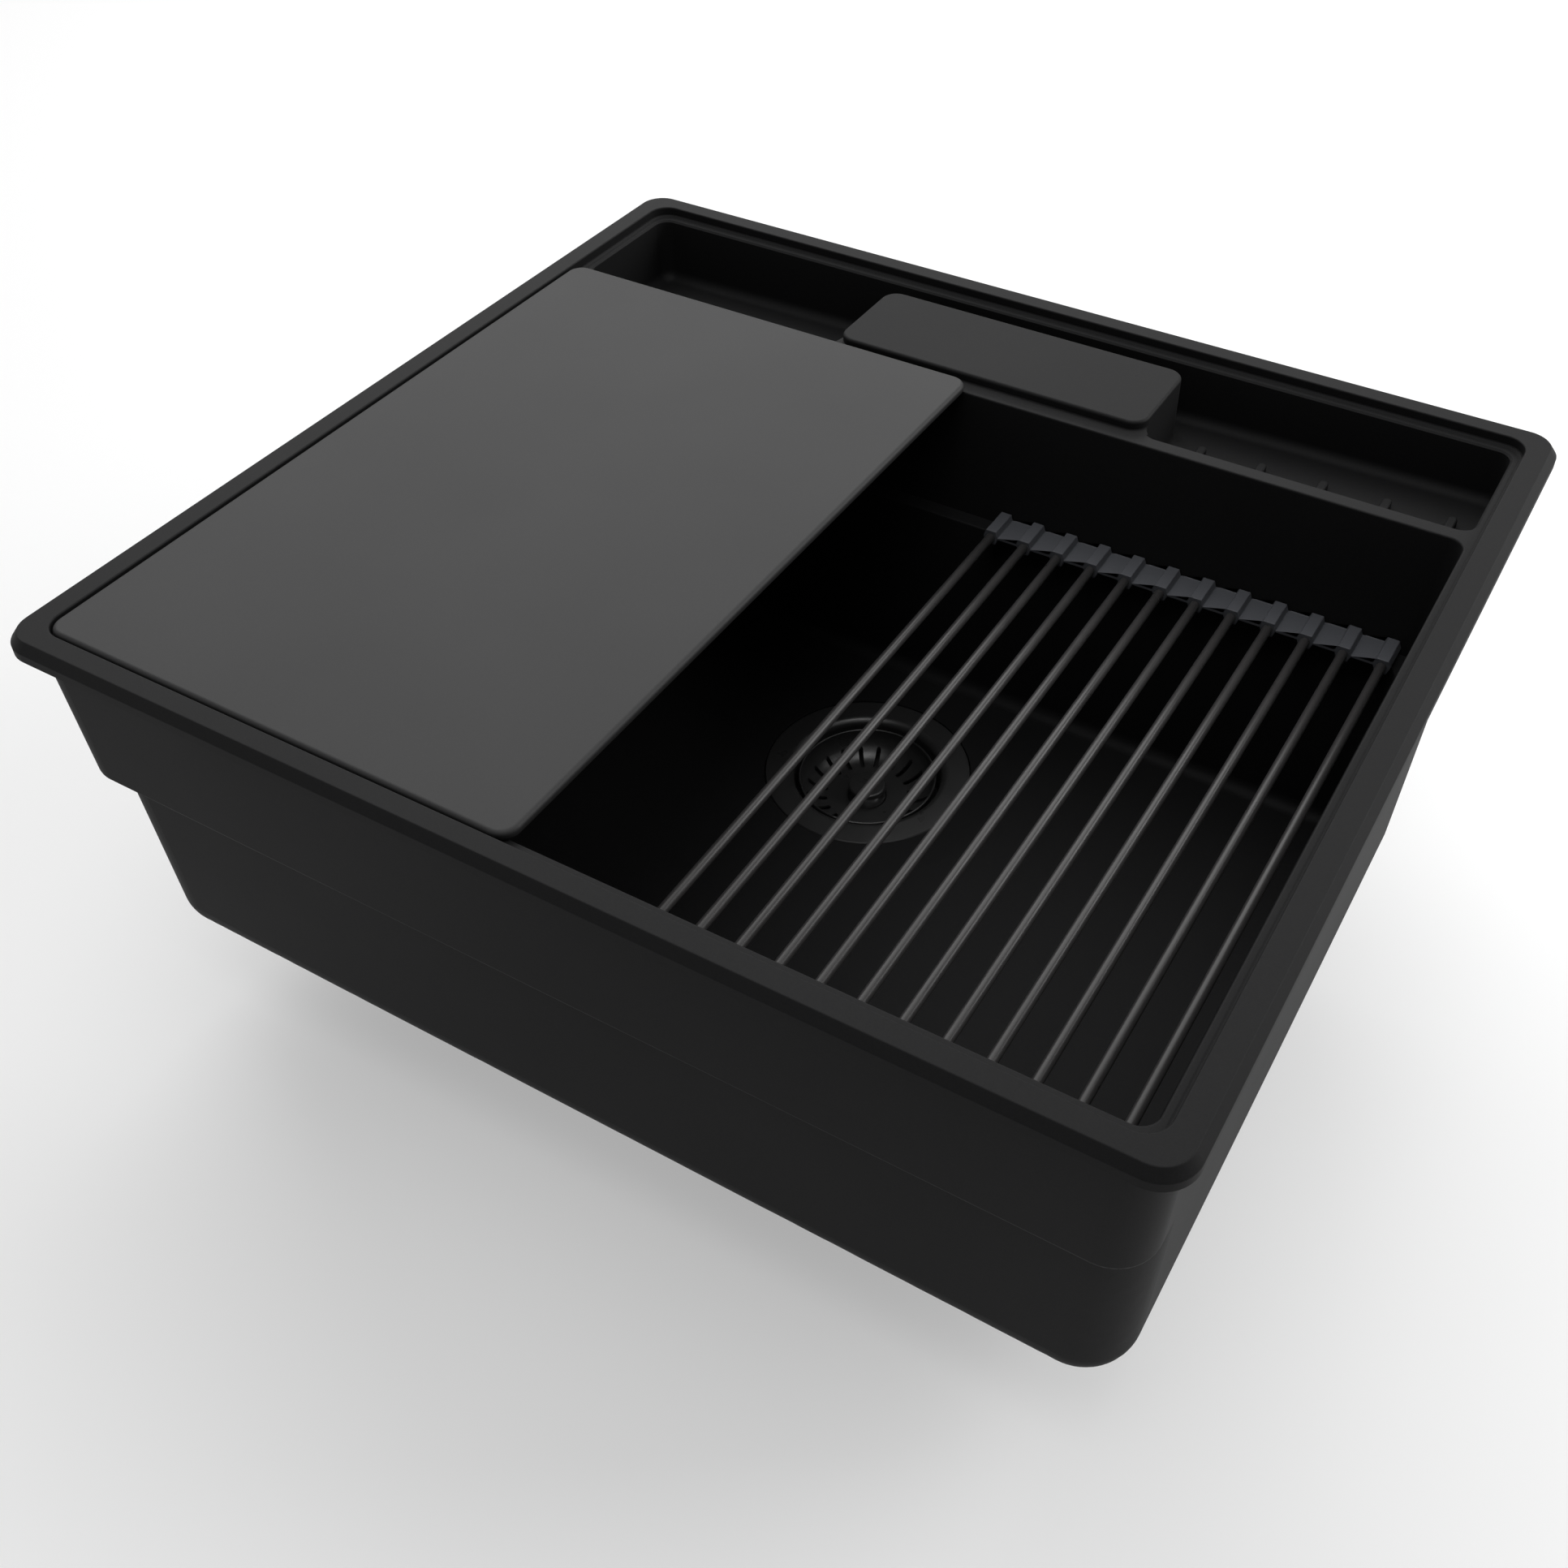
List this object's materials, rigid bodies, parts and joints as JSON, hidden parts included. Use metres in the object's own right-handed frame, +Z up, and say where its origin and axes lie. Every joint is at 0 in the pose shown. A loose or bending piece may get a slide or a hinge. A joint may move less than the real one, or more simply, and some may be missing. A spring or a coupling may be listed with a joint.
{
  "type": "workstation kitchen sink",
  "caption": "Black moulded workstation sink: deep bowl, rear trough with tap platform, sliding cutting board, roll-up drying rack on a lower ledge and a basket strainer.",
  "frame": {"origin": "under the middle of the rim's outline, level with the end of the waste outlet, the lowest point", "axes": "X along the sink towards its right end, Y towards its back where the tap platform is, Z up out of the worktop"},
  "size_m": [0.56, 0.51, 0.2595],
  "materials": {
    "moulded_composite": "matt black moulded composite, fine satin grain",
    "board_black": "matt black board, very fine grain",
    "rod_black": "satin black coated round rod",
    "mat_silicone": "matt slate grey silicone",
    "strainer_black": "satin black coated metal",
    "seal_rubber": "matt black rubber",
    "waste_plastic": "matt black moulded plastic",
    "screw_steel": "plain stainless steel",
    "nut_brass": "turned brass"
  },
  "bodies": {
    "shell": {"sink_shell": "moulded_composite", "strainer_flange": "strainer_black", "flange_seal": "seal_rubber", "waste_gasket": "seal_rubber", "waste_body": "waste_plastic", "waste_screw": "screw_steel", "waste_nut": "nut_brass"},
    "board": {"cutting_board": "board_black"},
    "drying_rack": {"mat_strip_front": "mat_silicone", "mat_strip_rear": "mat_silicone", "mat_rod_01": "rod_black", "mat_rod_02": "rod_black", "mat_rod_03": "rod_black", "mat_rod_04": "rod_black", "mat_rod_05": "rod_black", "mat_rod_06": "rod_black", "mat_rod_07": "rod_black", "mat_rod_08": "rod_black", "mat_rod_09": "rod_black", "mat_rod_10": "rod_black", "mat_rod_11": "rod_black", "mat_rod_12": "rod_black"},
    "basket": {"strainer_basket": "strainer_black", "basket_knob": "strainer_black", "basket_stopper": "seal_rubber", "stopper_screw": "screw_steel"}
  },
  "joints": [
    {"name": "board_slide", "type": "slide", "parent": "shell", "child": "board", "axis": [1, 0, 0], "range_m": [0, 0.2704]},
    {"name": "rack_slide", "type": "slide", "parent": "shell", "child": "drying_rack", "axis": [1, 0, 0], "range_m": [-0.2699, 0.0036]},
    {"name": "basket_lift", "type": "slide", "parent": "shell", "child": "basket", "axis": [0, 0, 1], "range_m": [0, 0.1]}
  ]
}
